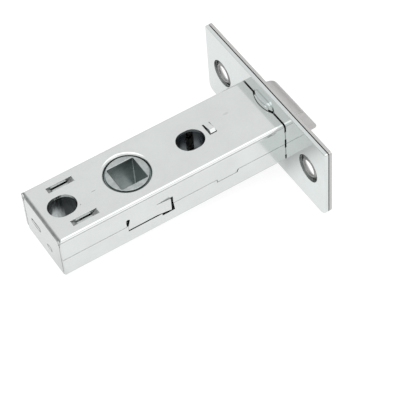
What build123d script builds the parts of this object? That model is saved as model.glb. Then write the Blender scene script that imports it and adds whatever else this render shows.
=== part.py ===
"""A bolt-through tubular mortice door latch.

Millimetres. The origin is the centre of the square spindle hole, halfway through the case.
+X points out through the forend, +Z along the spindle, +Y across the case.
The case is two pressed zinc-plated shells. A cast follower pulls a yoke that draws the
bevelled bolt in, and two rear springs bring the follower back to its middle position.
"""

from build123d import *
import os
from math import cos, radians, tan

# Case of two pressed shells
SHEET = 0.9
CASE_REAR = -25.45
CASE_FRONT = 41.3
CASE_HALF_WIDTH = 10.1
CASE_HALF_DEPTH = 6.85
BEND = 1.1
CORNER_RELIEF_R = 0.5
CORNER_GAP = (9.12, 9.34)
SEAM_Z = -0.2
SEAM_GAP = 0.12
INNER_HALF_WIDTH = CASE_HALF_WIDTH - SHEET
INNER_HALF_DEPTH = CASE_HALF_DEPTH - SHEET

# Holes through the case
BOLT_PITCH = 38.0
BOLT_SLOT_LENGTH = 7.9
BOLT_SLOT_WIDTH = 6.8
FERRULE_WALL = 0.5
FERRULE_SLACK = 0.1
FERRULE_SEAM = (0.6, 2.5)
FOLLOWER_HOLE_R = 6.15
ROLL_R = 0.88

# Locking tongues and windows along the side seam
LONG_TONGUE = (-6.3, 6.2)
LONG_TONGUE_BOTTOM = -1.7
LONG_TONGUE_GAP = 0.45
WINDOW_FRONT = 7.05
WINDOW_TOP = 2.45
RELIEF_Z = 1.8
FLAP_HINGE_X = 2.2
FLAP_ANGLE = 7.0
NOTCH = (3.6, 7.35)
NOTCH_BOTTOM = -2.9
SHORT_TONGUE = (20.4, 26.2)
SHORT_TONGUE_BOTTOM = -1.1

# Bridges pressed down over the return springs, beside the rear hole
BRIDGE = (-19.85, -12.25)
BRIDGE_Y = 6.35
BRIDGE_SLOT_WIDTH = 1.8
BRIDGE_WIDTH = 1.6
BRIDGE_RAMP = 1.6
BRIDGE_DROP = 1.3
BRIDGE_THICK = 0.6

# Tongue raised beside the front hole
STOP_SLOT = (24.1, 26.3)
STOP_STRIP = (24.5, 26.1)
STOP_ROOT_Y = 2.55
STOP_PEAK_Y = -0.55
STOP_TIP_Y = -1.25
STOP_SLOT_END_Y = -1.45
STOP_RISE = 0.8

# Nibs of the spring plate staked through the rear flap: centre Y, centre Z, length and width
NIBS = ((3.8, -0.3, 4.4, 1.3), (-2.8, -2.65, 2.2, 1.1))

# Forend of two plates
FOREND_LENGTH = 56.3
FOREND_Z = (-12.1, 12.1)
INNER_PLATE = (41.55, 42.52)
OUTER_PLATE = (42.8, 43.6)
PLATE_EDGE_R = 0.35
TOP_CORNER_R = 0.5
BOTTOM_CORNER_R = 2.3
SCREW_Y = 20.4
SCREW_Z = (FOREND_Z[0] + FOREND_Z[1]) / 2
INNER_SCREW_R = 4.1
SCREW_R = 2.3
BOSS_LENGTH = 9.0
BOSS_WIDTH = 4.4
BOSS_DEPTH = 1.05
BOSS_CROWN_R = 9.6
BOSS_STEP = 0.28
BOSS_STEP_LENGTH = 6.6
BOSS_STEP_WIDTH = 2.5
TAB_Z = (1.6, 4.4)

# Latch bolt
BOLT_HALF_WIDTH = 7.1
BOLT_Z = (-4.3, 5.3)
BOLT_REAR = 37.0
BOLT_TIP = 53.96
BEVEL_ANGLE = 63.0
BEVEL_CROWN_R = 4.0
TIP_R = 0.7
BOLT_BORE_R = 3.0
BOLT_BORE_END = 47.3
BOLT_WINDOW_SLACK = 0.2

# Follower with two fingers
FOLLOWER_R = 6.07
FOLLOWER_FACE_R = 5.75
FOLLOWER_STEP = 0.75
FOLLOWER_HALF_DEPTH = 6.55
SPINDLE_SQUARE = 7.75
MOUTH_CHAMFER = 0.15
FINGER_ANGLE = 55.0
FINGER_R = 8.3
FINGER_TIP_R = 0.75
FINGER_NECK = 1.1
FINGER_HALF_DEPTH = 3.4
FINGER_SLACK = 0.18

# Yoke under the bolt, and the two return slides above the springs
YOKE_Z = (-5.05, -3.65)
YOKE_LUG_TOP = 0.1
YOKE_INNER_Y = 6.4
YOKE_OUTER_Y = 9.0
LUG_Y = (6.9, 8.6)
LUG_THICK = 1.5
LUG_FACE_X = FINGER_R * cos(radians(FINGER_ANGLE)) - FINGER_TIP_R - FINGER_SLACK
RIVET_X = 39.3
RIVET_Y = 5.0
RIVET_R = 0.95
RIVET_TOP = -1.2
SLIDE_Z = (3.95, 4.85)
SLIDE_LUG_BOTTOM = 0.6
SLIDE_SEAT_BOTTOM = -1.5
SLIDE_INNER_Y = 6.45
SLIDE_REAR = -9.3
SLIDE_THICK = 1.0

# Springs
RETURN_SPRING_Y = 6.5
RETURN_SPRING_Z = 0.7
RETURN_SPRING_R = 1.85
RETURN_WIRE = 0.5
RETURN_TURNS = 9
PLATE_THICK = 0.6
PLATE_FACE_X = -23.9
SEAT_X = (24.12, 24.92)
SEAT_TAB_Y = (-0.9, 0.8)
SEAT_TAB_Z = 6.35
LATCH_SPRING_R = 2.4
LATCH_WIRE = 0.6
LATCH_TURNS = 12
SPRING_SLACK = 0.04

# Nylon guide round the bolt
GUIDE_X = (31.5, 41.2)


def block(x, y, z):
    """A box from three (low, high) pairs."""
    size = [high - low for low, high in (x, y, z)]
    centre = [(low + high) / 2 for low, high in (x, y, z)]
    return Pos(*centre) * Box(*size)


def both_sides(solid):
    """The solid and its mirror image across the middle of the case."""
    return solid + mirror(solid, about=Plane.XZ)


def obround(x, length, width, z):
    """A slot-shaped prism through the case, along X, centred at x."""
    sketch = Pos(x, 0) * SlotOverall(length, width)
    return Pos(0, 0, z[0]) * extrude(sketch, amount=z[1] - z[0])


def disc(radius, z, x=0.0, y=0.0):
    """A cylinder along Z between two heights."""
    return Pos(x, y, (z[0] + z[1]) / 2) * Cylinder(radius, z[1] - z[0])


def rod(radius, x, y=0.0, z=0.0):
    """A cylinder along X between two places."""
    return Pos((x[0] + x[1]) / 2, y, z) * Rot(0, 90, 0) * Cylinder(radius, x[1] - x[0])


def edges_at(solid, axis, *ranges):
    """Edges along an axis whose centres lie in the given (low, high) ranges of X, Y and Z."""
    chosen = []
    for edge in solid.edges().filter_by(axis):
        centre = edge.center()
        places = (centre.X, centre.Y, centre.Z)
        if all(low <= place <= high for place, (low, high) in zip(places, ranges)):
            chosen.append(edge)
    return chosen


ANY = (-1000.0, 1000.0)


def case_blank():
    """The bent sheet before it is cut: an open trough with its top at +Z and a rear flap."""
    outer = block(
        (CASE_REAR, CASE_FRONT),
        (-CASE_HALF_WIDTH, CASE_HALF_WIDTH),
        (-CASE_HALF_DEPTH, CASE_HALF_DEPTH),
    )
    top = (CASE_HALF_DEPTH - 0.01, CASE_HALF_DEPTH + 0.01)
    rear = (CASE_REAR - 0.01, CASE_REAR + 0.01)
    bends = edges_at(outer, Axis.X, ANY, ANY, top) + edges_at(outer, Axis.Y, rear, ANY, top)
    outer = fillet(bends, BEND)
    inner = block(
        (CASE_REAR + SHEET, CASE_FRONT + 1),
        (-INNER_HALF_WIDTH, INNER_HALF_WIDTH),
        (-CASE_HALF_DEPTH - 1, INNER_HALF_DEPTH),
    )
    inner_top = (INNER_HALF_DEPTH - 0.01, INNER_HALF_DEPTH + 0.01)
    inner = fillet(edges_at(inner, Axis.X, ANY, ANY, inner_top), BEND - SHEET + 0.1)
    return outer - inner


def long_tongue(grow=0.0):
    """The tongue of the upper shell that laps over the lower one, as a block through one side."""
    return block(
        (LONG_TONGUE[0] - grow, WINDOW_FRONT + grow),
        (INNER_HALF_WIDTH - 1, CASE_HALF_WIDTH + 1),
        (LONG_TONGUE_BOTTOM - grow, SEAM_Z + 1),
    )


def side_prism(*corners):
    """A prism through the far side wall, from (x, z) corners."""
    prism = extrude(Plane.XZ * Polygon(*corners, align=None), amount=2 * SHEET, both=True)
    return Pos(0, CASE_HALF_WIDTH, 0) * prism


def short_tongue(grow=0.0):
    """The shallow tongue near the forend, whose front end slants."""
    rear, front = SHORT_TONGUE[0] - grow, SHORT_TONGUE[1] + 2 * grow
    low, high = SHORT_TONGUE_BOTTOM - grow, SEAM_Z + 1
    slant = 0.45 * (high - low)
    return side_prism((rear, low), (front, low), (front + slant, high), (rear, high))


def relief_hole():
    """The teardrop at the root of the long tongue."""
    x = LONG_TONGUE[0]
    foot = SEAM_Z + 0.1
    drop = side_prism(
        (x - 0.48, foot), (x + 0.08, foot), (x + 0.55, RELIEF_Z), (x - 0.55, RELIEF_Z)
    )
    round_top = extrude(Plane.XZ * (Pos(x, RELIEF_Z) * Circle(0.57)), amount=2 * SHEET, both=True)
    return drop + Pos(0, CASE_HALF_WIDTH, 0) * round_top


def bent_flap():
    """The free end of the long tongue, sheared along its top and bent out of the case."""
    length = LONG_TONGUE[1] - FLAP_HINGE_X
    flap = block((-0.1, length), (-SHEET, 0), (LONG_TONGUE_BOTTOM, WINDOW_TOP - 0.07))
    return Pos(FLAP_HINGE_X, CASE_HALF_WIDTH, 0) * Rot(0, 0, FLAP_ANGLE) * flap


def bridge():
    """A strip of the sheet pressed down between two cuts, attached at both ends."""
    start, end = BRIDGE
    top = CASE_HALF_DEPTH
    low = top - BRIDGE_DROP
    outline = Polyline(
        (start, top),
        (start + BRIDGE_RAMP, low),
        (end - BRIDGE_RAMP, low),
        (end, top),
        (end, top - SHEET),
        (end - BRIDGE_RAMP, low - BRIDGE_THICK),
        (start + BRIDGE_RAMP, low - BRIDGE_THICK),
        (start, top - SHEET),
        (start, top),
    )
    strip = extrude(Plane.XZ * make_face(outline), amount=BRIDGE_WIDTH / 2, both=True)
    return Pos(0, BRIDGE_Y, 0) * strip


def stop_tongue():
    """A tongue sheared on three sides beside the front hole, raised, with its tip turned down."""
    top = CASE_HALF_DEPTH
    peak = top + STOP_RISE
    outline = Polyline(
        (STOP_ROOT_Y, top),
        (STOP_PEAK_Y, peak),
        (STOP_TIP_Y, top + 0.1),
        (STOP_TIP_Y, top - 0.6),
        (STOP_PEAK_Y + 0.05, peak - 0.7),
        (STOP_ROOT_Y, top - SHEET),
        (STOP_ROOT_Y, top),
    )
    tongue = extrude(Plane.YZ * make_face(outline), amount=STOP_STRIP[1] - STOP_STRIP[0])
    return Pos(STOP_STRIP[0], 0, 0) * tongue


def follower_hole():
    """The round hole for the follower, whose outer edge is rolled inward."""
    top = CASE_HALF_DEPTH
    edge = FOLLOWER_HOLE_R + ROLL_R
    inset = ROLL_R * (1 - cos(radians(45)))
    outline = Polyline((0, top - 2), (FOLLOWER_HOLE_R, top - 2), (FOLLOWER_HOLE_R, top - ROLL_R))
    outline += ThreePointArc(
        (FOLLOWER_HOLE_R, top - ROLL_R), (FOLLOWER_HOLE_R + inset, top - inset), (edge, top)
    )
    outline += Polyline((edge, top), (edge, top + 1), (0, top + 1), (0, top - 2))
    return revolve(Plane.XZ * make_face(outline), axis=Axis.Z)


def face_cuts():
    """Everything cut through a shell's broad face, drawn for the upper one."""
    through = (INNER_HALF_DEPTH - 0.5, CASE_HALF_DEPTH + 1)
    cuts = follower_hole()
    for x in (-BOLT_PITCH / 2, BOLT_PITCH / 2):
        cuts += obround(x, BOLT_SLOT_LENGTH, BOLT_SLOT_WIDTH, through)
    half = BRIDGE_SLOT_WIDTH / 2
    cuts += both_sides(block(BRIDGE, (BRIDGE_Y - half, BRIDGE_Y + half), through))
    cuts += block(STOP_SLOT, (STOP_SLOT_END_Y, STOP_ROOT_Y), through)
    return cuts


def face_forms():
    """What is pressed out of a shell's broad face: the bridges and the stop tongue."""
    return both_sides(bridge()) + stop_tongue()


def boss_crown(grow=0.0):
    """The shallow cylinder about Z that the forend's boss and its notch both follow."""
    radius = BOSS_CROWN_R + grow
    centre = INNER_PLATE[0] - BOSS_DEPTH + BOSS_CROWN_R
    return disc(radius, (INNER_HALF_DEPTH - 2, CASE_HALF_DEPTH + 4), centre)


def side_tabs(z):
    """Tabs of the side walls that are staked through the inner forend plate."""
    tab = block((CASE_FRONT - 1, INNER_PLATE[1]), (INNER_HALF_WIDTH, CASE_HALF_WIDTH), z)
    return both_sides(tab)


def upper_shell():
    """The upper half of the case, with the rear flap that closes the whole end."""
    shell = case_blank()
    side = block(
        (CASE_REAR - 1, CASE_FRONT + 1),
        (INNER_HALF_WIDTH - 0.12, CASE_HALF_WIDTH + 1),
        (-CASE_HALF_DEPTH - 1, SEAM_Z + SEAM_GAP / 2),
    )
    shell -= both_sides(side - long_tongue() - short_tongue())
    window = block(
        (LONG_TONGUE[1], WINDOW_FRONT),
        (INNER_HALF_WIDTH - 1, CASE_HALF_WIDTH + 1),
        (-CASE_HALF_DEPTH, WINDOW_TOP),
    )
    flap_space = block(
        (FLAP_HINGE_X, LONG_TONGUE[1]),
        (INNER_HALF_WIDTH - 1, CASE_HALF_WIDTH + 1),
        (-CASE_HALF_DEPTH, WINDOW_TOP),
    )
    corner_slit = block(
        (CASE_REAR - 1, CASE_REAR + SHEET),
        CORNER_GAP,
        (-CASE_HALF_DEPTH - 1, CASE_HALF_DEPTH - BEND),
    )
    relief_z = (CASE_HALF_DEPTH - 2.4, CASE_HALF_DEPTH - 0.4)
    corner_relief = disc(CORNER_RELIEF_R, relief_z, CASE_REAR, INNER_HALF_WIDTH)
    shell -= both_sides(window + flap_space + corner_slit + corner_relief + relief_hole())
    shell += both_sides(bent_flap())
    shell = shell - face_cuts() - boss_crown(BOSS_STEP + 0.1)
    for place in NIBS:
        shell -= nib(place, (CASE_REAR - 1, CASE_REAR + SHEET + 0.5), 0.08)
    return shell + face_forms() + side_tabs(TAB_Z)


def lower_shell():
    """The lower half, which ends inside the rear flap and is notched for the tongues."""
    shell = mirror(case_blank(), about=Plane.XY)
    above = block(
        (CASE_REAR - 1, CASE_FRONT + 1),
        (-CASE_HALF_WIDTH - 1, CASE_HALF_WIDTH + 1),
        (SEAM_Z - SEAM_GAP / 2, CASE_HALF_DEPTH + 1),
    )
    flap_space = block(
        (CASE_REAR - 1, CASE_REAR + SHEET + 0.08),
        (-CORNER_GAP[1], CORNER_GAP[1]),
        (-CASE_HALF_DEPTH - 1, 0),
    )
    tongue_room = block(
        (LONG_TONGUE[0] - 0.06, WINDOW_FRONT),
        (INNER_HALF_WIDTH - 1, CASE_HALF_WIDTH + 1),
        (LONG_TONGUE_BOTTOM - LONG_TONGUE_GAP, 0),
    )
    notch = side_prism(
        (NOTCH[0], NOTCH_BOTTOM), (NOTCH[1], NOTCH_BOTTOM), (WINDOW_FRONT + 0.05, 0), (NOTCH[0], 0)
    )
    shell = shell - above - flap_space
    shell -= both_sides(tongue_room + notch + short_tongue(0.15))
    shell -= mirror(face_cuts(), about=Plane.XY)
    return shell + mirror(face_forms(), about=Plane.XY) + side_tabs((-TAB_Z[1], -TAB_Z[0]))


def nib(place, x, grow=0.0):
    """A slot-shaped nib of the spring plate that passes through the rear flap."""
    y, z, length, width = place
    sketch = SlotOverall(length + 2 * grow, width + 2 * grow)
    prism = extrude(Plane.YZ * (Pos(y, z) * sketch), amount=x[1] - x[0])
    return Pos(x[0], 0, 0) * prism


def forend_outline():
    """The forend's outline in the YZ plane: nearly square at the top, rounded below."""
    low, high = FOREND_Z
    sheet = Pos(0, (low + high) / 2) * Rectangle(FOREND_LENGTH, high - low)
    sheet = fillet([corner for corner in sheet.vertices() if corner.Y > 0], TOP_CORNER_R)
    lower = [corner for corner in sheet.vertices() if corner.Y < low + 0.01]
    return fillet(lower, BOTTOM_CORNER_R)


def forend_plate(x):
    """A forend plate between two places, with its window for the bolt."""
    plate = Pos(x[0], 0, 0) * extrude(Plane.YZ * forend_outline(), amount=x[1] - x[0])
    slack = BOLT_WINDOW_SLACK
    return plate - block(
        (x[0] - 1, x[1] + 1),
        (-BOLT_HALF_WIDTH - slack, BOLT_HALF_WIDTH + slack),
        (BOLT_Z[0] - slack, BOLT_Z[1] + slack),
    )


def boss_prism(length, width):
    """An oval prism behind the inner plate, level with the case's top face."""
    sketch = Plane.YZ * (Pos(0, CASE_HALF_DEPTH) * SlotOverall(length, width))
    return Pos(INNER_PLATE[0] - 2, 0, 0) * extrude(sketch, amount=2)


def inner_forend():
    """The zinc-plated plate behind, staked to the case, with a stepped oval boss pressed in it."""
    plate = forend_plate(INNER_PLATE)
    back = plate.faces().sort_by(Axis.X)[0]
    plate = fillet(back.outer_wire().edges(), PLATE_EDGE_R)
    for y in (-SCREW_Y, SCREW_Y):
        plate -= rod(INNER_SCREW_R, (INNER_PLATE[0] - 1, INNER_PLATE[1] + 1), y, SCREW_Z)
    slot_y = (INNER_HALF_WIDTH - 0.05, CASE_HALF_WIDTH + 0.05)
    for z in (TAB_Z, (-TAB_Z[1], -TAB_Z[0])):
        slot = block((INNER_PLATE[0] - 1, INNER_PLATE[1] + 1), slot_y, (z[0] - 0.05, z[1] + 0.05))
        plate -= both_sides(slot)
    boss = boss_prism(BOSS_LENGTH, BOSS_WIDTH) & boss_crown()
    boss += boss_prism(BOSS_STEP_LENGTH, BOSS_STEP_WIDTH) & boss_crown(BOSS_STEP)
    boss -= block((0, 100), (-20, 20), (-20, INNER_HALF_DEPTH + 0.1))
    return plate + boss


def countersink():
    """One pressed countersink of the outer plate, about the X axis at the origin."""
    back, front = OUTER_PLATE
    outline = Polyline(
        (back, 5.4),
        (front, 5.4),
        (front, 4.45),
        (front - 1.3, SCREW_R),
        (front - 1.8, SCREW_R),
        (front - 1.8, 2.75),
        (front - 1.6, 2.95),
        (back - 0.05, 3.6),
        (back, 5.4),
    )
    return revolve(make_face(outline), axis=Axis.X)


def outer_forend():
    """The satin face plate, whose countersinks sit in the larger holes of the inner plate."""
    plate = forend_plate(OUTER_PLATE)
    for y in (-SCREW_Y, SCREW_Y):
        plate -= rod(5.0, (OUTER_PLATE[0] - 1, OUTER_PLATE[1] + 1), y, SCREW_Z)
        plate += Pos(0, y, SCREW_Z) * countersink()
    return plate


def ferrule(x, side):
    """A rolled tube for a fixing bolt, held between the shells, its seam open on one side."""
    length = BOLT_SLOT_LENGTH + 2 * FERRULE_SLACK
    width = BOLT_SLOT_WIDTH + 2 * FERRULE_SLACK
    span = (-INNER_HALF_DEPTH, INNER_HALF_DEPTH)
    outer = obround(x, length + 2 * FERRULE_WALL, width + 2 * FERRULE_WALL, span)
    tube = outer - obround(x, length, width, (span[0] - 1, span[1] + 1))
    seam = block((x + FERRULE_SEAM[0], x + FERRULE_SEAM[1]), (0, 10), (span[0] - 1, span[1] + 1))
    return tube - (seam if side > 0 else mirror(seam, about=Plane.XZ))


def spring_plate():
    """The plate inside the rear flap, staked through it, that the return springs push on."""
    rear = PLATE_FACE_X - PLATE_THICK
    plate = block((rear, PLATE_FACE_X), (-9.0, 9.0), (-5.85, 5.85))
    for place in NIBS:
        plate += nib(place, (CASE_REAR - 0.02, rear))
    spigot = rod(1.3, (PLATE_FACE_X, PLATE_FACE_X + 1.8), RETURN_SPRING_Y, RETURN_SPRING_Z)
    return plate + both_sides(spigot)


def spring_seat():
    """The plate behind the latch spring, whose two tabs bear on the slots of the stop tongues."""
    plate = block(SEAT_X, (-5.2, 5.2), (-5.4, 5.4))
    corners = edges_at(plate, Axis.X, ANY, ANY, ANY)
    plate = fillet(corners, 1.0) - rod(1.1, (SEAT_X[0] - 1, SEAT_X[1] + 1))
    plate += block(SEAT_X, SEAT_TAB_Y, (5, SEAT_TAB_Z))
    return plate + block(SEAT_X, SEAT_TAB_Y, (-SEAT_TAB_Z, -5))


def guide_pin():
    """The headed pin that keeps the latch spring straight."""
    head = rod(1.7, (SEAT_X[0] - 0.5, SEAT_X[0]))
    shank = rod(1.1, (SEAT_X[0], 36.2))
    tip = shank.faces().sort_by(Axis.X)[-1].edges()
    return chamfer(tip, 0.3) + head


def bolt_profile():
    """The bolt's side view: flat below, with a crowned bevel that runs down to the tip."""
    low, high = BOLT_Z
    bevel_start = BOLT_TIP - (high - low) / tan(radians(BEVEL_ANGLE))
    outline = Polyline(
        (BOLT_REAR, low), (BOLT_TIP, low), (bevel_start, high), (BOLT_REAR, high), (BOLT_REAR, low)
    )
    profile = make_face(outline)
    tip = [corner for corner in profile.vertices() if corner.X > BOLT_TIP - 0.01]
    profile = fillet(tip, TIP_R)
    crown = [
        corner
        for corner in profile.vertices()
        if corner.Y > high - 0.01 and corner.X > BOLT_REAR + 1
    ]
    return fillet(crown, BEVEL_CROWN_R)


def latch_bolt():
    """The cast bolt, bored for its spring and stepped below for the yoke."""
    body = extrude(Plane.XZ * bolt_profile(), amount=BOLT_HALF_WIDTH, both=True)
    sides = [
        edge
        for edge in body.edges()
        if abs(abs(edge.center().Y) - BOLT_HALF_WIDTH) < 0.01 and edge.center().X > BOLT_REAR + 0.1
    ]
    body = fillet(sides, 0.35)
    body -= rod(BOLT_BORE_R, (BOLT_REAR - 1, BOLT_BORE_END))
    step = block((BOLT_REAR - 1, INNER_PLATE[0] - 0.12), (-20, 20), (BOLT_Z[0] - 1, YOKE_Z[1] + 0.02))
    body -= step
    for y in (-RIVET_Y, RIVET_Y):
        body -= disc(RIVET_R, (YOKE_Z[0], RIVET_TOP), RIVET_X, y)
    return body


def draw_yoke():
    """The steel yoke: a crossbar under the bolt and two arms back to lugs at the fingers."""
    bar = block((BOLT_REAR + 0.2, CASE_FRONT - 0.1), (-YOKE_OUTER_Y, YOKE_OUTER_Y), YOKE_Z)
    rear = LUG_FACE_X - LUG_THICK
    arm = block((rear, BOLT_REAR + 1), (YOKE_INNER_Y, YOKE_OUTER_Y), YOKE_Z)
    lug = block((rear, LUG_FACE_X), LUG_Y, (YOKE_Z[0], YOKE_LUG_TOP))
    yoke = bar + both_sides(arm + lug)
    for y in (-RIVET_Y, RIVET_Y):
        yoke -= disc(RIVET_R, (YOKE_Z[0] - 1, YOKE_Z[1] + 1), RIVET_X, y)
    return yoke


def yoke_rivet(y):
    """A rivet from the yoke up into the bolt."""
    return disc(RIVET_R, (YOKE_Z[0], RIVET_TOP), RIVET_X, y)


def finger():
    """A follower finger along +X, with a waisted neck and a round tip."""
    span = (-FINGER_HALF_DEPTH, FINGER_HALF_DEPTH)
    neck = FINGER_NECK / 2
    outline = Polygon(
        (0, -1.3), (5.6, -1.3), (7.0, -neck), (FINGER_R, -neck),
        (FINGER_R, neck), (7.0, neck), (5.6, 1.3), (0, 1.3), align=None,
    )
    root = Pos(0, 0, span[0]) * extrude(outline, amount=span[1] - span[0])
    return root + disc(FINGER_TIP_R, span, FINGER_R)


def follower():
    """The cast hub: a square hole, two fingers and a stepped boss that turns in both shells."""
    span = (-FOLLOWER_HALF_DEPTH, FOLLOWER_HALF_DEPTH)
    shoulder = FOLLOWER_HALF_DEPTH - FOLLOWER_STEP
    hub = disc(FOLLOWER_FACE_R, span)
    hub = chamfer(hub.edges().filter_by(GeomType.CIRCLE), 0.1)
    hub += disc(FOLLOWER_R, (-shoulder, shoulder))
    for sign in (-1, 1):
        hub += Rot(0, 0, sign * FINGER_ANGLE) * finger()
    square = fillet(Rectangle(SPINDLE_SQUARE, SPINDLE_SQUARE).vertices(), 0.3)
    hub -= Pos(0, 0, span[0] - 1) * extrude(square, amount=span[1] - span[0] + 2)
    mouth = []
    for edge in hub.edges():
        centre = edge.center()
        at_end = abs(abs(centre.Z) - FOLLOWER_HALF_DEPTH) < 0.01
        if at_end and centre.X**2 + centre.Y**2 < (FOLLOWER_FACE_R - 0.2) ** 2:
            mouth.append(edge)
    return chamfer(mouth, MOUTH_CHAMFER)


def return_slide(side):
    """A slide that a finger pushes back against its own spring; side is 1 far or -1 near."""
    outer_y = LUG_Y[1]
    strip = block((SLIDE_REAR, LUG_FACE_X), (SLIDE_INNER_Y, outer_y), SLIDE_Z)
    lug = block((LUG_FACE_X - LUG_THICK, LUG_FACE_X), LUG_Y, (SLIDE_LUG_BOTTOM, SLIDE_Z[1]))
    seat_x = (SLIDE_REAR, SLIDE_REAR + SLIDE_THICK)
    seat = block(seat_x, (4.4, outer_y), (SLIDE_SEAT_BOTTOM, SLIDE_Z[1]))
    spigot = rod(1.2, (SLIDE_REAR - 1.4, SLIDE_REAR), RETURN_SPRING_Y, RETURN_SPRING_Z)
    slide = strip + lug + seat + spigot
    return slide if side > 0 else mirror(slide, about=Plane.XZ)


def coil(radius, wire, turns, x, y=0.0, z=0.0):
    """A compression spring along X between two faces."""
    margin = wire / 2 + SPRING_SLACK
    length = x[1] - x[0] - 2 * margin
    path = Helix(pitch=length / turns, height=length, radius=radius)
    start = path @ 0
    section = Plane(origin=start, z_dir=path % 0) * Circle(wire / 2)
    spring = sweep(section, path=path, is_frenet=True)
    return Pos(x[0] + margin, y, z) * Rot(0, 90, 0) * spring


def latch_spring():
    """The light spring from its seat into the bolt."""
    return coil(LATCH_SPRING_R, LATCH_WIRE, LATCH_TURNS, (SEAT_X[1], BOLT_BORE_END))


def return_spring(side):
    """A spring beside the rear hole, between a return slide and the spring plate."""
    span = (PLATE_FACE_X, SLIDE_REAR)
    return coil(
        RETURN_SPRING_R, RETURN_WIRE, RETURN_TURNS, span, side * RETURN_SPRING_Y, RETURN_SPRING_Z
    )


def bolt_guide():
    """The nylon saddle that fills the case round the bolt and keeps it straight."""
    top = INNER_HALF_DEPTH - 0.05
    saddle = block(GUIDE_X, (-9.1, 9.1), (YOKE_Z[1] + 0.2, top))
    saddle = fillet(edges_at(saddle, Axis.X, ANY, ANY, (top - 0.01, top + 0.01)), 0.5)
    room = block(
        (GUIDE_X[0] - 1, GUIDE_X[1] + 1),
        (-BOLT_HALF_WIDTH - 0.08, BOLT_HALF_WIDTH + 0.08),
        (-20, BOLT_Z[1] + 0.08),
    )
    return saddle - room


SUB_PARTS = {
    "upper_shell": upper_shell,
    "lower_shell": lower_shell,
    "inner_forend": inner_forend,
    "outer_forend": outer_forend,
    "front_ferrule": lambda: ferrule(BOLT_PITCH / 2, 1),
    "rear_ferrule": lambda: ferrule(-BOLT_PITCH / 2, -1),
    "spring_plate": spring_plate,
    "spring_seat": spring_seat,
    "guide_pin": guide_pin,
    "bolt_guide": bolt_guide,
    "latch_bolt": latch_bolt,
    "draw_yoke": draw_yoke,
    "yoke_rivet_near": lambda: yoke_rivet(-RIVET_Y),
    "yoke_rivet_far": lambda: yoke_rivet(RIVET_Y),
    "latch_spring": latch_spring,
    "follower": follower,
    "return_slide_near": lambda: return_slide(-1),
    "return_slide_far": lambda: return_slide(1),
    "return_spring_near": lambda: return_spring(-1),
    "return_spring_far": lambda: return_spring(1),
}

os.makedirs("parts", exist_ok=True)
for name, make in SUB_PARTS.items():
    solid = make()
    solid.label = name
    export_step(solid, f"parts/{name}.step")
    print(name, round(solid.volume, 1))
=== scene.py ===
"""Looks of a bolt-through tubular mortice latch: finishes, springs, studio and camera.

Lengths here are in metres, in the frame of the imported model. Names that end in _mm are in
millimetres, because the finishes place their marks on the metal in millimetres.
"""

import logging
import math
from abc import ABC, abstractmethod
from dataclasses import dataclass
from enum import Enum
from typing import Any, ClassVar

import bmesh
import bpy
from mathutils import Matrix, Vector


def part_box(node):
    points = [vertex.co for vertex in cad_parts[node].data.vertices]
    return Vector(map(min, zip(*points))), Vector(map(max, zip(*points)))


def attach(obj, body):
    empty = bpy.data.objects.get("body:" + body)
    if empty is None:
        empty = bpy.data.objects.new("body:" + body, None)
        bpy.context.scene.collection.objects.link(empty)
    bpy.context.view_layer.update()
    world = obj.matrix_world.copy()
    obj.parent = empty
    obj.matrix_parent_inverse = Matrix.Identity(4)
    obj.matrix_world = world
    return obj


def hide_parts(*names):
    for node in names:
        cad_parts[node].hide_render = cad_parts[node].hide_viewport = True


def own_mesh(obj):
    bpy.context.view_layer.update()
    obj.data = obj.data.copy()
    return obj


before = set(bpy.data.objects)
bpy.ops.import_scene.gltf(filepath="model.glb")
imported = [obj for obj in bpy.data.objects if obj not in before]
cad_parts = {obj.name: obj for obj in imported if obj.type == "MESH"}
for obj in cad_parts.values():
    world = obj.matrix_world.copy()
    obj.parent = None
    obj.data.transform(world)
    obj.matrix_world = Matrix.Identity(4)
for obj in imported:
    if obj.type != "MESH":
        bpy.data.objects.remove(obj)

LOG = logging.getLogger("latch")
MM = 0.001
Colour = tuple[float, float, float]
Triple = tuple[float, float, float]
Span = tuple[float, float]
WHITE: Colour = (1.0, 1.0, 1.0)
SEED_STEP: Triple = (1.0, 1.7, -1.0)


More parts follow.
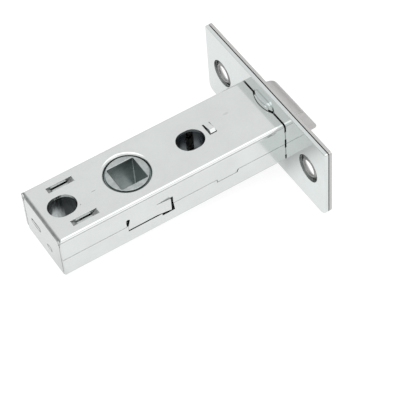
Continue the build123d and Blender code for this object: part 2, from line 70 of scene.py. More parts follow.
class Wire:
    """A shader output that can stand in a Python expression."""

    def __init__(self, graph: "Graph", socket: bpy.types.NodeSocket) -> None:
        """Keeps the output socket and the graph that its new nodes go to."""
        self.graph = graph
        self.socket = socket

    def __add__(self, other: "Wire | float") -> "Wire":
        """self + other."""
        return self.graph.math("ADD", self, other)

    def __radd__(self, other: float) -> "Wire":
        """other + self."""
        return self.graph.math("ADD", other, self)

    def __sub__(self, other: "Wire | float") -> "Wire":
        """self - other."""
        return self.graph.math("SUBTRACT", self, other)

    def __rsub__(self, other: float) -> "Wire":
        """other - self."""
        return self.graph.math("SUBTRACT", other, self)

    def __mul__(self, other: "Wire | float") -> "Wire":
        """self * other."""
        return self.graph.math("MULTIPLY", self, other)

    def __rmul__(self, other: float) -> "Wire":
        """other * self."""
        return self.graph.math("MULTIPLY", other, self)

    def __truediv__(self, other: "Wire | float") -> "Wire":
        """self / other."""
        return self.graph.math("DIVIDE", self, other)

    def __rtruediv__(self, other: float) -> "Wire":
        """other / self."""
        return self.graph.math("DIVIDE", other, self)

    def __abs__(self) -> "Wire":
        """The distance from zero."""
        return self.graph.math("ABSOLUTE", self)

    def at_least(self, other: "Wire | float") -> "Wire":
        """The larger of the two."""
        return self.graph.math("MAXIMUM", self, other)

    def at_most(self, other: "Wire | float") -> "Wire":
        """The smaller of the two."""
        return self.graph.math("MINIMUM", self, other)

    def hypot(self, other: "Wire") -> "Wire":
        """The long side of a right-angled triangle with these two as short sides."""
        return self.graph.math("SQRT", self * self + other * other)

    def depth_in(self, low: float, high: float) -> "Wire":
        """How far the value is inside a range, and below 0 outside it."""
        return (self - low).at_most(high - self)

    def smooth(self, low: float, high: float) -> "Wire":
        """A smooth step.

        Args:
            low: the value that gives 0.
            high: the value that gives 1. It may be the smaller one.

        Returns:
            A value from 0 to 1.
        """
        if low > high:
            return 1 - self.smooth(high, low)
        return self.graph.add(
            "ShaderNodeMapRange",
            {"interpolation_type": "SMOOTHSTEP"},
            {"Value": self, "From Min": low, "From Max": high},
            "Result",
        )


class Graph:
    """The node tree of one material or of the world."""

    def __init__(self, tree: bpy.types.NodeTree) -> None:
        """Empties the tree."""
        self.tree = tree
        tree.nodes.clear()

    @classmethod
    def material(cls, name: str) -> tuple["Graph", bpy.types.Material]:
        """Makes a new material.

        Args:
            name: the material's name.

        Returns:
            Its graph and the material.
        """
        made = bpy.data.materials.new(name)
        made.use_nodes = True
        return cls(made.node_tree), made

    def node(
        self,
        kind: str,
        settings: dict[str, Any] | None = None,
        inputs: dict[str | int, Any] | None = None,
    ) -> bpy.types.Node:
        """Makes any node.

        Args:
            kind: the node's type.
            settings: its attributes, set before its sockets.
            inputs: values or wires by socket name or number.

        Returns:
            The node.
        """
        node = self.tree.nodes.new(kind)
        for key, value in (settings or {}).items():
            setattr(node, key, value)
        for key, value in (inputs or {}).items():
            if isinstance(value, Wire):
                self.tree.links.new(value.socket, node.inputs[key])
            elif isinstance(value, tuple) and node.inputs[key].type == "RGBA":
                node.inputs[key].default_value = (*value, 1.0)
            else:
                node.inputs[key].default_value = value
        return node

    def add(
        self,
        kind: str,
        settings: dict[str, Any] | None = None,
        inputs: dict[str | int, Any] | None = None,
        output: str | int = 0,
    ) -> Wire:
        """Makes any node and gives one of its outputs.

        Args:
            kind: the node's type.
            settings: its attributes, set before its sockets.
            inputs: values or wires by socket name or number.
            output: which output the wire is.

        Returns:
            The chosen output.
        """
        return Wire(self, self.node(kind, settings, inputs).outputs[output])

    def math(self, operation: str, first: Wire | float, second: Wire | float = 0.0) -> Wire:
        """A Math node.

        Args:
            operation: its operation.
            first: the first value.
            second: the second value.

        Returns:
            The result.
        """
        return self.add("ShaderNodeMath", {"operation": operation}, {0: first, 1: second})

    def vector(self, operation: str, first: Wire | Triple, second: Wire | Triple) -> Wire:
        """A Vector Math node.

        Args:
            operation: its operation.
            first: the first vector.
            second: the second vector.

        Returns:
            The resulting vector.
        """
        return self.add("ShaderNodeVectorMath", {"operation": operation}, {0: first, 1: second})

    def mix(self, factor: Wire | float, first: Wire | Colour, second: Wire | Colour) -> Wire:
        """Blends two colours.

        Args:
            factor: 0 gives the first colour and 1 the second.
            first: the first colour.
            second: the second colour.

        Returns:
            The blended colour.
        """
        return self.add("ShaderNodeMix", {"data_type": "RGBA"}, {0: factor, 6: first, 7: second}, 2)

    def split(self, vector: Wire) -> tuple[Wire, Wire, Wire]:
        """X, Y and Z of a vector."""
        return tuple(self.add("ShaderNodeSeparateXYZ", None, {0: vector}, axis) for axis in range(3))

    def split_mm(self, place: Wire) -> tuple[Wire, Wire, Wire]:
        """X, Y and Z of a place in metres, in millimetres."""
        return self.split(self.vector("MULTIPLY", place, (1 / MM, 1 / MM, 1 / MM)))

    def place_mm(self) -> tuple[Wire, Wire, Wire]:
        """X, Y and Z of the shaded point in the part's frame, in millimetres."""
        return self.split_mm(self.add("ShaderNodeTexCoord", output="Object"))

    def facing(self) -> tuple[Wire, Wire, Wire]:
        """X, Y and Z of the flat surface's outward direction."""
        return self.split(self.add("ShaderNodeNewGeometry", output="True Normal"))

    def ray(self, kind: str) -> Wire:
        """1 for rays of one kind of Light Path, and else 0."""
        return self.add("ShaderNodeLightPath", output=kind)

    def noise(
        self, per_mm: float | Triple, detail: float = 3.0, roughness: float = 0.5, seed: float = 0.0
    ) -> Wire:
        """Noise about 0, mostly within 0.3 of it.

        Args:
            per_mm: how many features there are per millimetre, along X, Y and Z if they differ.
            detail: how many finer layers it has.
            roughness: how strong those layers are.
            seed: moves the pattern.

        Returns:
            The noise value.
        """
        each = per_mm if isinstance(per_mm, tuple) else (per_mm,) * 3
        coords = self.add("ShaderNodeTexCoord", output="Object")
        coords = self.vector("MULTIPLY", coords, tuple(value / MM for value in each))
        coords = self.vector("ADD", coords, tuple(seed * step for step in SEED_STEP))
        value = self.add(
            "ShaderNodeTexNoise",
            {"noise_dimensions": "3D"},
            {"Vector": coords, "Scale": 1.0, "Detail": detail, "Roughness": roughness},
        )
        return value - 0.5

    def bump(self, height: Wire, height_mm: float, edge_mm: float) -> Wire:
        """A surface normal from a height.

        Args:
            height: the height value.
            height_mm: how high a value of 1 stands.
            edge_mm: the radius to which sharp edges are rounded.

        Returns:
            The normal.
        """
        rounded = self.add("ShaderNodeBevel", {"samples": 6}, {"Radius": edge_mm * MM}, "Normal")
        inputs = {"Height": height, "Strength": 1.0, "Distance": height_mm * MM, "Normal": rounded}
        return self.add("ShaderNodeBump", None, inputs, "Normal")

    def surface(self, shader: Wire) -> None:
        """Ends the tree with a shader."""
        world = isinstance(self.tree.id_data, bpy.types.World)
        kind = "ShaderNodeOutputWorld" if world else "ShaderNodeOutputMaterial"
        self.node(kind, None, {"Surface": shader})


class BlemishAndShade(ABC):
    """Darker or duller metal in one place: some kinds are real blemishes, the rest are painted shade. Full
    cover adds dulling to the roughness.
    """

    dulling: ClassVar[float] = 0.3

    @abstractmethod
    def cover(self, graph: Graph) -> Wire:
        """How strongly the shaded point is covered.

        Args:
            graph: the material's graph.

        Returns:
            A value from 0 to about the blemish's strength.
        """

    @staticmethod
    def patchy(
        graph: Graph, per_mm: float, swing: float, mean: float, seed: float, detail: float = 3.0
    ) -> Wire:
        """An uneven factor that makes a blemish or a painted shade stronger and weaker from place to place.

        Args:
            graph: the material's graph.
            per_mm: how many patches there are per millimetre.
            swing: how much it varies.
            mean: the value that it varies about.
            seed: moves the pattern.
            detail: how many finer layers it has.

        Returns:
            The factor.
        """
        return graph.noise(per_mm, detail, 0.6, seed) * swing + mean


@dataclass(frozen=True)
class Mark(BlemishAndShade):
    """A small oval mark on the case's top face, seen in the photograph."""

    centre_mm: Span
    half_mm: Span
    strength: float
    raggedness: ClassVar[float] = 0.8
    fade: ClassVar[Span] = (1.0, 0.5)
    top_mm: ClassVar[Span] = (6.6, 6.8)

    def cover(self, graph: Graph) -> Wire:
        """How strongly the mark covers the shaded point.

        Args:
            graph: the material's graph.

        Returns:
            A value from 0 to the mark's strength.
        """
        x, y, z = graph.place_mm()
        along = (x - self.centre_mm[0]) / self.half_mm[0]
        across = (y - self.centre_mm[1]) / self.half_mm[1]
        ragged = along.hypot(across) + graph.noise(1.6, 2.0, 0.6, seed=5.0) * self.raggedness
        return ragged.smooth(*self.fade) * z.smooth(*self.top_mm) * self.strength


@dataclass(frozen=True)
class FoldShade(BlemishAndShade):
    """A painted shade line, with duller roughness, where the rear flap is folded down from the top face."""

    x_mm: float
    strength: float
    soft_mm: ClassVar[float] = 0.4
    above_mm: ClassVar[Span] = (3.0, 4.0)
    rearward: ClassVar[Span] = (-0.15, -0.6)
    upward: ClassVar[Span] = (-0.01, 0.12)

    def cover(self, graph: Graph) -> Wire:
        """How strongly the fold's painted shade and dulling cover the shaded point.

        Args:
            graph: the material's graph.

        Returns:
            A value from 0 to a little over the fold's strength.
        """
        x, _, z = graph.place_mm()
        out, _, up = graph.facing()
        # painted shade: darker where the fold's curve faces rearward and up
        curved = out.smooth(*self.rearward) * up.smooth(*self.upward)
        behind = x.smooth(self.x_mm + self.soft_mm, self.x_mm)
        uneven_shade = self.patchy(graph, 0.8, swing=0.6, mean=0.9, seed=8.0)
        return curved * behind * z.smooth(*self.above_mm) * uneven_shade * self.strength


@dataclass(frozen=True)
class NibShade(BlemishAndShade):
    """A painted shade line round a nib that is staked through the rear flap, in the gap round the nib."""

    centre_mm: Span
    length_mm: float
    width_mm: float
    strength: float
    line_mm: ClassVar[Span] = (0.34, 0.16)
    flap_mm: ClassVar[Span] = (-25.2, -25.4)

    def cover(self, graph: Graph) -> Wire:
        """How strongly the line covers the shaded point.

        Args:
            graph: the material's graph.

        Returns:
            A value from 0 to a little over the line's strength.
        """
        x, y, z = graph.place_mm()
        straight = (self.length_mm - self.width_mm) / 2
        along = (abs(y - self.centre_mm[0]) - straight).at_least(0.0)
        across = z - self.centre_mm[1]
        away = abs(along.hypot(across) - self.width_mm / 2)
        uneven = self.patchy(graph, 0.7, swing=1.2, mean=0.85, seed=7.0, detail=2.0)
        return away.smooth(*self.line_mm) * x.smooth(*self.flap_mm) * uneven * self.strength


@dataclass(frozen=True)
class Dimple(BlemishAndShade):
    """Darker, duller metal on the back of the two pressed countersinks."""

    y_mm: float
    radius_mm: float
    front_mm: float
    strength: float
    rim_mm: ClassVar[float] = 0.2
    soft_mm: ClassVar[float] = 0.1

    def cover(self, graph: Graph) -> Wire:
        """How dull the shaded point is.

        Args:
            graph: the material's graph.

        Returns:
            A value from 0 to a little over the dimple's strength.
        """
        x, y, z = graph.place_mm()
        inside = (abs(y) - self.y_mm).hypot(z).smooth(self.radius_mm + self.rim_mm, self.radius_mm)
        behind = x.smooth(self.front_mm + self.soft_mm, self.front_mm)
        uneven = self.patchy(graph, 0.9, swing=1.4, mean=0.85, seed=11.0)
        return inside * behind * uneven * self.strength


@dataclass(frozen=True)
class TubeShade(BlemishAndShade):
    """Painted shade in a rolled tube's inside, toward the forend or toward the bottom."""

    x_mm: Span
    lean: float
    strength: float
    streak_mm: ClassVar[float] = 3.0
    dulling: ClassVar[float] = 0.0

    def cover(self, graph: Graph) -> Wire:
        """How dark the shaded point is.

        Args:
            graph: the material's graph.

        Returns:
            A value from 0 to the strength.
        """
        x, _, z = graph.place_mm()
        streak = graph.noise((1.3, 1.3, 0.15), 3.0, 0.6, seed=14.0)
        return (x + z * self.lean + streak * self.streak_mm).smooth(*self.x_mm) * self.strength


@dataclass(frozen=True)
class SocketShade(BlemishAndShade):
    """Painted shade on the walls of a square hole, inside a radius from the part's Z axis."""

    radius_mm: float
    strength: float
    soft_mm: ClassVar[float] = 0.1
    upright: ClassVar[Span] = (0.5, 0.3)
    dulling: ClassVar[float] = 0.0

    def cover(self, graph: Graph) -> Wire:
        """How dark the shaded point is.

        Args:
            graph: the material's graph.

        Returns:
            A value from 0 to the strength.
        """
        x, y, _ = graph.place_mm()
        _, _, up = graph.facing()
        inside = x.hypot(y).smooth(self.radius_mm + self.soft_mm, self.radius_mm)
        return inside * abs(up).smooth(*self.upright) * self.strength


@dataclass(frozen=True)
class Gap(BlemishAndShade):
    """The unlit sheared edges inside a narrow gap that runs along both side walls."""

    x_mm: Span
    z_mm: Span
    strength: float
    soft_mm: ClassVar[float] = 0.02
    dulling: ClassVar[float] = 0.2

    def cover(self, graph: Graph) -> Wire:
        """How dark the shaded point is.

        Args:
            graph: the material's graph.

        Returns:
            A value from 0 to the strength.
        """
        x, _, z = graph.place_mm()
        within = x.depth_in(*self.x_mm).at_most(z.depth_in(*self.z_mm))
        return within.smooth(-self.soft_mm, 0.0) * self.strength


@dataclass(frozen=True)
class Ramp(BlemishAndShade):
    """The rough, stretched metal at one end of the bridges beside the rear slot."""

    x_mm: Span
    y_mm: float
    half_mm: float
    strength: float
    edge_mm: ClassVar[Span] = (-0.05, 0.15)
    sunk_mm: ClassVar[Span] = (6.86, 6.72)
    dulling: ClassVar[float] = 1.6

    def cover(self, graph: Graph) -> Wire:
        """How strongly the ramp is dulled at the shaded point.

        Args:
            graph: the material's graph.

        Returns:
            A value from 0 to a little over the ramp's strength.
        """
        x, y, z = graph.place_mm()
        across = self.half_mm - abs(abs(y) - self.y_mm)
        within = x.depth_in(*self.x_mm).at_most(across).smooth(*self.edge_mm)
        uneven = self.patchy(graph, 1.4, swing=1.2, mean=0.9, seed=16.0)
        return within * abs(z).smooth(*self.sunk_mm) * uneven * self.strength


@dataclass(frozen=True)
class Metal:
    """A plated, satin, cast or plain metal with grain, cloudy colour, uneven gloss and painted shade in its
    narrow gaps.
    """

    name: str
    colour: Colour
    tint: Colour
    roughness: float
    patch_per_mm: float = 0.12
    grain_per_mm: float | Triple = 3.0
    grain_mm: float = 0.002
    wave_mm: float = 0.0
    edge_mm: float = 0.12
    # painted shade: gaps found by ambient occlusion are darkened toward the dark colour below
    crevice_mm: float = 0.5
    crevice_shade: float = 0.45
    pit_mm: float = 0.0
    mark_and_shade_colour: Colour = (0.085, 0.09, 0.09)
    marks: tuple[BlemishAndShade, ...] = ()
    cloud_share: ClassVar[float] = 1.8
    fine_share: ClassVar[float] = 0.5
    open_range: ClassVar[Span] = (0.3, 0.92)
    haze_range: ClassVar[Span] = (0.05, 0.28)
    fine_gloss: ClassVar[float] = 0.5
    haze_gloss: ClassVar[float] = 0.35
    pit_range: ClassVar[Span] = (0.16, 0.30)

    def base(self, graph: Graph) -> Wire:
        """The cloudy base colour, with painted shade in narrow gaps, and darker under marks, some of which
        are painted shade.

        Args:
            graph: the material's graph.

        Returns:
            The colour.
        """
        cloud = graph.noise(self.patch_per_mm, 4.0, 0.62)
        fine = graph.noise(1.1, 3.0, 0.6, seed=3.0)
        blend = (cloud * self.cloud_share + fine * self.fine_share + 0.5).smooth(0.0, 1.0)
        colour = graph.mix(blend, self.colour, self.tint)
        # painted shade in narrow gaps and corners, from ambient occlusion
        reach = {"Distance": self.crevice_mm * MM}
        open_sky = graph.add("ShaderNodeAmbientOcclusion", {"samples": 8}, reach, "AO")
        shade = (1 - open_sky.smooth(*self.open_range)) * self.crevice_shade
        for mark in self.marks:
            shade = shade.at_least(mark.cover(graph))
        return graph.mix(shade, colour, self.mark_and_shade_colour)

    def gloss(self, graph: Graph) -> Wire:
        """The uneven roughness, with a haze of handling in patches and duller marks.

        Args:
            graph: the material's graph.

        Returns:
            The roughness.
        """
        fine = graph.noise(0.9, 3.0, 0.6, seed=4.0)
        haze = graph.noise(0.16, 4.0, 0.6, seed=6.0).smooth(*self.haze_range)
        uneven = fine * (self.roughness * self.fine_gloss)
        rough = self.roughness + uneven + haze * (self.roughness * self.haze_gloss)
        for mark in self.marks:
            rough = rough + mark.cover(graph) * mark.dulling
        return rough

    def height(self, graph: Graph) -> Wire:
        """Grain, pits and waviness.

        Args:
            graph: the material's graph.

        Returns:
            The height, where 1 is the grain's full height.
        """
        height = graph.noise(self.grain_per_mm, 3.0, 0.65, seed=9.0)
        if self.wave_mm > 0:
            wave = graph.noise(0.11, 1.0, 0.5, seed=2.0)
            height = height + wave * (self.wave_mm / self.grain_mm)
        if self.pit_mm > 0:
            pits = graph.noise(1.7, 2.0, 0.5, seed=12.0).smooth(*self.pit_range)
            height = height - pits * (self.pit_mm / self.grain_mm)
        return height

    def build(self) -> bpy.types.Material:
        """Makes the material.

        Returns:
            The finished material.
        """
        graph, material = Graph.material(self.name)
        shader = graph.add(
            "ShaderNodeBsdfPrincipled",
            None,
            {
                "Base Color": self.base(graph),
                "Metallic": 1.0,
                "Roughness": self.gloss(graph),
                "Normal": graph.bump(self.height(graph), self.grain_mm, self.edge_mm),
            },
        )
        graph.surface(shader)
        return material


@dataclass(frozen=True)
class Nylon:
    """A moulded plastic with a faint grain."""

    name: str
    colour: Colour
    roughness: float = 0.45
    darker: float = 0.9
    cloud_range: Span = (-0.2, 0.2)
    uneven_gloss: float = 0.1
    glow_mm: float = 0.5
    glow: float = 0.1
    grain_per_mm: float = 6.0
    grain_mm: float = 0.004
    edge_mm: float = 0.1

    def build(self) -> bpy.types.Material:
        """Makes the material.

        Returns:
            The finished material.
        """
        graph, material = Graph.material(self.name)
        cloud = graph.noise(0.4)
        darker = tuple(channel * self.darker for channel in self.colour)
        shader = graph.add(
            "ShaderNodeBsdfPrincipled",
            None,
            {
                "Base Color": graph.mix(cloud.smooth(*self.cloud_range), self.colour, darker),
                "Roughness": self.roughness + cloud * self.uneven_gloss,
                "Subsurface Weight": self.glow,
                "Subsurface Scale": self.glow_mm * MM,
                "Normal": graph.bump(graph.noise(self.grain_per_mm), self.grain_mm, self.edge_mm),
            },
        )
        graph.surface(shader)
        return material


SCRATCH = Mark(centre_mm=(-10.15, -0.35), half_mm=(0.85, 0.16), strength=0.35)
DOT = Mark(centre_mm=(-15.0, -2.3), half_mm=(0.22, 0.22), strength=0.6)
SMUDGE = Mark(centre_mm=(31.3, 2.4), half_mm=(1.1, 0.5), strength=0.1)
# painted shade on the rear fold
REAR_FOLD_SHADE = FoldShade(x_mm=-24.4, strength=0.68)
# painted shade lines round the two nibs
FAR_NIB_SHADE = NibShade(centre_mm=(3.8, -0.3), length_mm=4.4, width_mm=1.3, strength=1.0)
NEAR_NIB_SHADE = NibShade(centre_mm=(-2.8, -2.65), length_mm=2.2, width_mm=1.1, strength=0.6)
REAR_RAMP = Ramp(x_mm=(-19.9, -18.2), y_mm=6.35, half_mm=0.95, strength=0.28)
FRONT_RAMP = Ramp(x_mm=(-13.9, -12.2), y_mm=6.35, half_mm=0.95, strength=0.5)
TONGUE_GAP = Gap(x_mm=(-6.4, 7.1), z_mm=(-2.16, -1.69), strength=0.95)
COUNTERSINKS = Dimple(y_mm=20.4, radius_mm=5.2, front_mm=42.85, strength=0.5)
# painted shade on the square hole's walls
SQUARE_HOLE_SHADE = SocketShade(radius_mm=5.6, strength=0.5)
# painted shade inside the two tubes
REAR_INSIDE_SHADE = TubeShade(x_mm=(-20.0, -17.0), lean=0.25, strength=0.97)
FRONT_INSIDE_SHADE = TubeShade(x_mm=(20.0, 28.0), lean=-1.6, strength=0.95)
ZINC = Metal(
    name="zinc_plate",
    colour=(0.725, 0.752, 0.74),
    tint=(0.69, 0.712, 0.705),
    roughness=0.13,
    grain_per_mm=(1.2, 5.0, 5.0),
    grain_mm=0.0012,
    wave_mm=0.02,
    crevice_shade=0.5,
    mark_and_shade_colour=(0.03, 0.034, 0.034),
    marks=(SCRATCH, DOT, SMUDGE, REAR_FOLD_SHADE, FAR_NIB_SHADE, NEAR_NIB_SHADE, REAR_RAMP, FRONT_RAMP, TONGUE_GAP),
)
FOREND_ZINC = Metal(
    name="forend_zinc",
    colour=(0.70, 0.745, 0.735),
    tint=(0.68, 0.715, 0.71),
    roughness=0.065,
    grain_per_mm=(3.0, 1.2, 3.0),
    grain_mm=0.0006,
    wave_mm=0.008,
)
SATIN = Metal(
    name="satin_plate",
    colour=(0.56, 0.555, 0.545),
    tint=(0.52, 0.52, 0.51),
    roughness=0.34,
    grain_per_mm=(6.0, 0.6, 9.0),
    grain_mm=0.004,
    mark_and_shade_colour=(0.05, 0.062, 0.06),
    marks=(COUNTERSINKS,),
)
CAST = Metal(
    name="cast_bolt",
    colour=(0.56, 0.545, 0.54),
    tint=(0.525, 0.515, 0.51),
    roughness=0.48,
    patch_per_mm=0.3,
    grain_per_mm=4.0,
    grain_mm=0.005,
    pit_mm=0.005,
)
FOLLOWER_CAST = Metal(
    name="follower_cast",
    colour=(0.51, 0.545, 0.54),
    tint=(0.34, 0.37, 0.365),
    roughness=0.30,
    patch_per_mm=0.5,
    grain_mm=0.006,
    # painted shade: strong in the follower's gaps, and dark teal, as in the square hole
    crevice_shade=0.9,
    pit_mm=0.012,
    mark_and_shade_colour=(0.04, 0.085, 0.085),
    marks=(SQUARE_HOLE_SHADE,),
)
REAR_TUBE = Metal(
    name="rear_tube",
    colour=(0.62, 0.655, 0.67),
    tint=(0.46, 0.495, 0.50),
    roughness=0.2,
    grain_per_mm=(3.0, 3.0, 0.5),
    mark_and_shade_colour=(0.03, 0.035, 0.035),
    marks=(REAR_INSIDE_SHADE,),
)
# painted shade: a much darker copy of the tube metal, for the front tube deep in the case
SHADED_FRONT_TUBE = Metal(
    name="shaded_front_tube",
    colour=(0.26, 0.285, 0.305),
    tint=(0.18, 0.205, 0.215),
    roughness=0.25,
    grain_per_mm=(3.0, 3.0, 0.5),
    mark_and_shade_colour=(0.015, 0.017, 0.02),
    marks=(FRONT_INSIDE_SHADE,),
)
MECHANISM = Metal(
    name="mechanism_steel",
    colour=(0.56, 0.58, 0.575),
    tint=(0.46, 0.48, 0.475),
    roughness=0.35,
)
WIRE = Metal(
    name="spring_wire",
    colour=(0.42, 0.42, 0.41),
    tint=(0.34, 0.34, 0.33),
    roughness=0.28,
    grain_per_mm=(2.0, 8.0, 8.0),
)
GUIDE_NYLON = Nylon(name="guide_nylon", colour=(0.70, 0.70, 0.66))


class Joint(Enum):
    """The sliding joints, one listed with each spring."""

    BOLT = "bolt_slide"
    NEAR = "near_slide"
    FAR = "far_slide"


def dress(nodes: tuple[str, ...], material: bpy.types.Material) -> None:
    """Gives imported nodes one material.

    Args:
        nodes: the nodes' names.
        material: what they are made of.
    """
    for node in nodes:
        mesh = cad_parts[node].data
        mesh.materials.clear()
        mesh.materials.append(material)
        LOG.info("%s is dressed in %s", node, material.name)


@dataclass
class PressedCase:
    """The two pressed shells, the tubes in their slots and the fixed pieces inside."""

    plated: tuple[str, ...] = ("upper_shell", "lower_shell", "spring_plate")
    shaded_front_tube: tuple[str, ...] = ("front_ferrule",)
    rear_tube: tuple[str, ...] = ("rear_ferrule",)
    steel: tuple[str, ...] = ("spring_seat", "guide_pin")
    guide: tuple[str, ...] = ("bolt_guide",)

    def build(self) -> None:
        """Dresses every piece of the case."""
        dress(self.plated, ZINC.build())
        dress(self.shaded_front_tube, SHADED_FRONT_TUBE.build())
        dress(self.rear_tube, REAR_TUBE.build())
        dress(self.steel, MECHANISM.build())
        dress(self.guide, GUIDE_NYLON.build())


@dataclass
class Forend:
    """The plated inner plate and the satin face plate."""

    inner: tuple[str, ...] = ("inner_forend",)
    outer: tuple[str, ...] = ("outer_forend",)

    def build(self) -> None:
        """Dresses both plates."""
        dress(self.inner, FOREND_ZINC.build())
        dress(self.outer, SATIN.build())


@dataclass
class Mechanism:
    """The bolt, its yoke, the follower and the return slides.

    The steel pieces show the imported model's plain material, because it bears the same name as
    the finish MECHANISM, which Blender therefore calls mechanism_steel.001.
    """

    bolt: tuple[str, ...] = ("latch_bolt",)
    follower: tuple[str, ...] = ("follower",)
    steel: tuple[str, ...] = (
        "draw_yoke",
        "yoke_rivet_near",
        "yoke_rivet_far",
        "return_slide_near",
        "return_slide_far",
    )

    def build(self) -> None:
        """Dresses the moving pieces."""
        dress(self.bolt, CAST.build())
        dress(self.follower, FOLLOWER_CAST.build())
        dress(self.steel, bpy.data.materials[MECHANISM.name])


@dataclass
class CoilSpring:
    """A compression spring along X.

    Each end turn rises by end_rise of an even turn, so that it closes on the next one.
    """

    node: str
    joint: Joint
    turns: int
    wire_mm: float
    travel_mm: float
    end_rise: float = 0.45
    steps_per_turn: int = 28
    sides: int = 10

    def rise(self, share: float) -> float:
        """How far along the spring the wire has come.

        Args:
            share: how much of the wire is wound, from 0 to 1.

        Returns:
            The share of the spring's length.
        """
        closed = 1 / self.turns
        if share < closed:
            return share * self.end_rise
        if share > 1 - closed:
            return 1 - (1 - share) * self.end_rise
        open_turns = 1 - 2 * closed
        open_rise = 1 - 2 * self.end_rise * closed
        return closed * self.end_rise + (share - closed) * open_rise / open_turns

    def centre_line(self) -> list[Vector]:
        """Points along the wire, with the first and last turn closed up.

        Returns:
            The points, in metres.
        """
        low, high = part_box(self.node)
        half_wire = self.wire_mm * MM / 2
        radius = (high.z - low.z) / 2 - half_wire
        start, end = low.x + half_wire, high.x - half_wire
        count = self.turns * self.steps_per_turn
        points = []
        for step in range(count + 1):
            share = step / count
            angle = share * self.turns * math.tau
            x = start + (end - start) * self.rise(share)
            y = (low.y + high.y) / 2 + radius * math.cos(angle)
            z = (low.z + high.z) / 2 + radius * math.sin(angle)
            points.append(Vector((x, y, z)))
        return points

    def build(self, material: bpy.types.Material) -> bpy.types.Object:
        """Makes the wire, hides the imported spring and attaches the wire to the case.

        Args:
            material: the wire's finish.

        Returns:
            The spring.
        """
        spring = tube(f"{self.node}_wire", self.centre_line(), self.wire_mm * MM / 2, self.sides)
        spring.data.materials.append(material)
        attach(spring, "case")
        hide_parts(self.node)
        low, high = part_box(self.node)
        length = high.x - low.x
        keep = (length - self.travel_mm * MM) / length
        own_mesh(spring)
        return spring


def tube(name: str, points: list[Vector], radius: float, sides: int) -> bpy.types.Object:
    """Makes a round closed wire along a line.

    Args:
        name: the object's name.
        points: the centre line.
        radius: the wire's radius.
        sides: how many faces there are around it.

    Returns:
        The new object.
    """
    shape = bmesh.new()
    rings = []
    for index, point in enumerate(points):
        before = points[max(index - 1, 0)]
        after = points[min(index + 1, len(points) - 1)]
        forward = (after - before).normalized()
        side = forward.cross(Vector((1.0, 0.0, 0.0))).normalized()
        up = side.cross(forward)
        ring = []
        for corner in range(sides):
            angle = corner / sides * math.tau
            ring.append(shape.verts.new(point + radius * (side * math.cos(angle) + up * math.sin(angle))))
        rings.append(ring)
    for first, second in zip(rings, rings[1:]):
        for corner in range(sides):
            following = (corner + 1) % sides
            shape.faces.new((first[corner], first[following], second[following], second[corner]))
    shape.faces.new(list(reversed(rings[0])))
    shape.faces.new(rings[-1])
    bmesh.ops.recalc_face_normals(shape, faces=shape.faces)
    mesh = bpy.data.meshes.new(name)
    shape.to_mesh(mesh)
    shape.free()
    mesh.polygons.foreach_set("use_smooth", [True] * len(mesh.polygons))
    made = bpy.data.objects.new(name, mesh)
    bpy.context.scene.collection.objects.link(made)
    return made


@dataclass
class Springs:
    """The latch spring and the two return springs."""

    travel_mm: float = 9.5
    latch_turns: int = 12
    latch_wire_mm: float = 0.6
    return_turns: int = 9
    return_wire_mm: float = 0.5

    def build(self) -> None:
        """Makes the three springs."""
        material = WIRE.build()
        light = (self.latch_turns, self.latch_wire_mm, self.travel_mm)
        strong = (self.return_turns, self.return_wire_mm, self.travel_mm)
        springs = (
            CoilSpring("latch_spring", Joint.BOLT, *light),
            CoilSpring("return_spring_near", Joint.NEAR, *strong),
            CoilSpring("return_spring_far", Joint.FAR, *strong),
        )
        for spring in springs:
            made = spring.build(material)
            LOG.info("%s has %d faces", made.name, len(made.data.polygons))


@dataclass(frozen=True)
class Viewpoint:
    """The camera that took the photograph, solved from the latch's edges and holes."""

    azimuth_deg: float = -28.41
    elevation_deg: float = 50.75
    roll_deg: float = -5.08
    distance: float = 0.45562
    target: Triple = (0.012895, -0.013611, 0.0004)
    focal_pixels: float = 1789.77
    image_pixels: float = 400.0
    sensor_mm: float = 36.0
    clip: Span = (0.01, 10.0)

    def back(self) -> Vector:
        """The direction from the target to the camera."""
        azimuth = math.radians(self.azimuth_deg)
        elevation = math.radians(self.elevation_deg)
        flat = math.cos(elevation)
        return Vector((math.sin(azimuth) * flat, -math.cos(azimuth) * flat, math.sin(elevation)))

    def build(self) -> bpy.types.Object:
        """Makes the camera and uses it for the scene.

        Returns:
            The camera.
        """
        back = self.back()
        right = (-back).cross(Vector((0.0, 0.0, 1.0))).normalized()
        up = right.cross(-back)
        roll = math.radians(self.roll_deg)
        turned_right = right * math.cos(roll) + up * math.sin(roll)
        turned_up = up * math.cos(roll) - right * math.sin(roll)
        axes = Matrix((turned_right, turned_up, back)).transposed()
        data = bpy.data.cameras.new("camera")
        data.sensor_fit = "HORIZONTAL"
        data.sensor_width = self.sensor_mm
        data.lens = self.focal_pixels / self.image_pixels * self.sensor_mm
        data.clip_start, data.clip_end = self.clip
        camera = bpy.data.objects.new("camera", data)
        camera.matrix_world = Matrix.Translation(Vector(self.target) + back * self.distance) @ axes.to_4x4()
        bpy.context.scene.collection.objects.link(camera)
        bpy.context.scene.camera = camera
        return camera


@dataclass(frozen=True)
class SoftLamp:
    """A large rectangular studio lamp."""

    name: str
    toward: Triple
    distance: float
    size: Span
    watts: float

    def build(self) -> bpy.types.Object:
        """Makes the lamp, aimed at the latch.

        Returns:
            The lamp.
        """
        data = bpy.data.lights.new(self.name, "AREA")
        data.shape = "RECTANGLE"
        data.size, data.size_y = self.size
        data.energy = self.watts
        lamp = bpy.data.objects.new(self.name, data)
        direction = Vector(self.toward).normalized()
        lamp.location = direction * self.distance
        lamp.rotation_euler = direction.to_track_quat("Z", "Y").to_euler()
        bpy.context.scene.collection.objects.link(lamp)
        return lamp


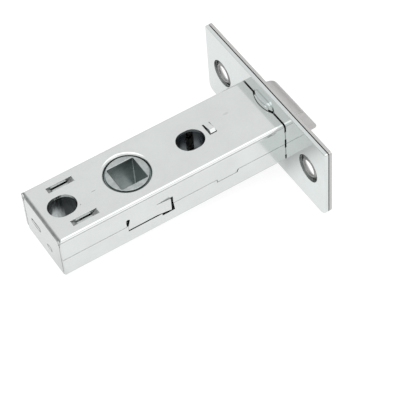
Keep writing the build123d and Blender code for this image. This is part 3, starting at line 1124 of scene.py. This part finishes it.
@dataclass(frozen=True)
class Floor:
    """The white floor under the forend's edge and the case's rear edge.

    It is white to the camera and pale in reflections. In reflections it has a painted shadow under the case
    (covered) and behind it (behind), and painted light on the near side by the forend (foot).
    """

    normal: Triple = (0.0781, 0.0, 0.9969)
    size: float = 6.0
    drop_mm: float = 0.05
    colour: Colour = (0.24, 0.24, 0.24)
    paler: float = 0.98
    cloud_per_mm: float = 0.002
    cloud_range: Span = (-0.3, 0.3)
    seen_lift: float = 0.86
    mirrored_lift: float = 0.80
    covered_x_mm: Span = (12.0, 41.5)
    covered_y_mm: float = 9.5
    covered_edge_mm: Span = (-3.0, 5.0)
    covered_dim: float = 0.45
    behind_x_mm: Span = (-23.5, -26.0)
    behind_y_mm: Span = (2.0, -8.0)
    behind_dim: float = 0.1
    behind_near_dim: float = 0.12
    foot_rear_mm: Span = (30.0, 36.0)
    foot_front_mm: Span = (44.0, 41.0)
    foot_near_mm: Span = (-11.0, -14.0)
    foot_lift: float = 0.08

    def rest_point(self) -> Vector:
        """The forend's lowest edge, which lies on the floor."""
        low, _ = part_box("inner_forend")
        return Vector((low.x, 0.0, low.z))

    def build(self) -> bpy.types.Object:
        """Makes the floor.

        Returns:
            The floor.
        """
        mesh = bpy.data.meshes.new("floor")
        half = self.size / 2
        corners = [(-half, -half, 0.0), (half, -half, 0.0), (half, half, 0.0), (-half, half, 0.0)]
        mesh.from_pydata(corners, [], [(0, 1, 2, 3)])
        floor = bpy.data.objects.new("floor", mesh)
        normal = Vector(self.normal).normalized()
        floor.rotation_euler = normal.to_track_quat("Z", "Y").to_euler()
        floor.location = self.rest_point() - normal * (self.drop_mm * MM)
        bpy.context.scene.collection.objects.link(floor)
        mesh.materials.append(self.finish())
        return floor

    def mirrored(self, graph: Graph) -> Wire:
        """How bright the floor is in a reflection, before mirrored_lift.

        Args:
            graph: the floor material's graph.

        Returns:
            A value about 1.
        """
        x, y, _ = graph.split_mm(graph.add("ShaderNodeNewGeometry", output="Position"))
        # painted shadow under and behind the case, and painted light by the forend, seen in reflections
        # only
        inside = x.depth_in(*self.covered_x_mm).at_most(self.covered_y_mm - abs(y))
        covered = inside.smooth(*self.covered_edge_mm) * self.covered_dim
        toward_near = y.smooth(*self.behind_y_mm) * self.behind_near_dim
        behind = x.smooth(*self.behind_x_mm) * (toward_near + self.behind_dim)
        beside = x.smooth(*self.foot_rear_mm) * x.smooth(*self.foot_front_mm)
        foot = beside * y.smooth(*self.foot_near_mm) * self.foot_lift
        return 1 - covered - behind + foot

    def finish(self) -> bpy.types.Material:
        """The floor's material, which is clear from below.

        Returns:
            The material.
        """
        graph, material = Graph.material("studio_floor")
        cloud = graph.noise(self.cloud_per_mm).smooth(*self.cloud_range)
        colour = graph.mix(cloud, self.colour, tuple(channel * self.paler for channel in self.colour))
        base = graph.add("ShaderNodeBsdfDiffuse", None, {"Color": colour})
        to_camera = (graph.ray("Is Camera Ray") + graph.ray("Is Transmission Ray")) * self.seen_lift
        lift = to_camera + graph.ray("Is Glossy Ray") * self.mirrored(graph) * self.mirrored_lift
        glow = graph.add("ShaderNodeEmission", None, {"Color": WHITE, "Strength": lift})
        above = graph.add("ShaderNodeAddShader", None, {0: base, 1: glow})
        below = graph.add("ShaderNodeNewGeometry", output="Backfacing")
        clear = graph.add("ShaderNodeBsdfTransparent")
        graph.surface(graph.add("ShaderNodeMixShader", None, {0: below, 1: above, 2: clear}))
        return material


@dataclass(frozen=True)
class Surround:
    """A pale sky, a bright ceiling overhead and a dark horizon, all plain white to the camera.

    Spans are of the view direction's Y, which points to the far side, and of its Z, up.
    """

    sky: float = 0.94
    ceiling: float = 1.6
    horizon: float = 0.16
    back_horizon: float = 0.75
    ceiling_far: Span = (0.42, 0.28)
    ceiling_near: Span = (-0.45, -0.33)
    ceiling_up: Span = (0.76, 0.86)
    back_far: Span = (0.4, 0.75)
    raised_far: Span = (0.1, 0.45)
    raised_by: float = 0.15
    sky_up: Span = (-0.02, 0.24)

    def build(self) -> None:
        """Makes the world and gives it to the scene."""
        world = bpy.data.worlds.new("surround")
        world.use_nodes = True
        bpy.context.scene.world = world
        graph = Graph(world.node_tree)
        _, far, up = graph.split(graph.add("ShaderNodeTexCoord", output="Generated"))
        centred = far.smooth(*self.ceiling_far) * far.smooth(*self.ceiling_near)
        overhead = centred * up.smooth(*self.ceiling_up)
        raised = up - far.smooth(*self.raised_far) * self.raised_by
        low = far.smooth(*self.back_far) * (self.back_horizon - self.horizon) + self.horizon
        above = low + raised.smooth(*self.sky_up) * (self.sky - low)
        strength = above + overhead * (self.ceiling - self.sky)
        strength = strength + graph.ray("Is Camera Ray") * (1 - strength)
        graph.surface(graph.add("ShaderNodeBackground", None, {"Color": WHITE, "Strength": strength}))


@dataclass(frozen=True)
class Studio:
    """A white floor, the light of the surround and one soft lamp in front."""

    floor: Floor = Floor()
    surround: Surround = Surround()
    lamp: SoftLamp = SoftLamp(
        name="front_lamp", toward=(0.30, -0.78, 0.56), distance=1.1, size=(0.5, 0.5), watts=0.3
    )

    def build(self) -> None:
        """Makes the floor, the surround and the lamp."""
        bpy.context.scene.view_settings.view_transform = "Standard"
        self.floor.build()
        self.surround.build()
        self.lamp.build()
        LOG.info("%s gives %.1f W", self.lamp.name, self.lamp.watts)


def main() -> None:
    """Builds the latch's looks in order."""
    logging.basicConfig(level=logging.INFO, format="%(name)s: %(message)s")
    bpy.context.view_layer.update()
    Viewpoint().build()
    PressedCase().build()
    Forend().build()
    Mechanism().build()
    Springs().build()
    Studio().build()


if __name__ == "__main__":
    main()
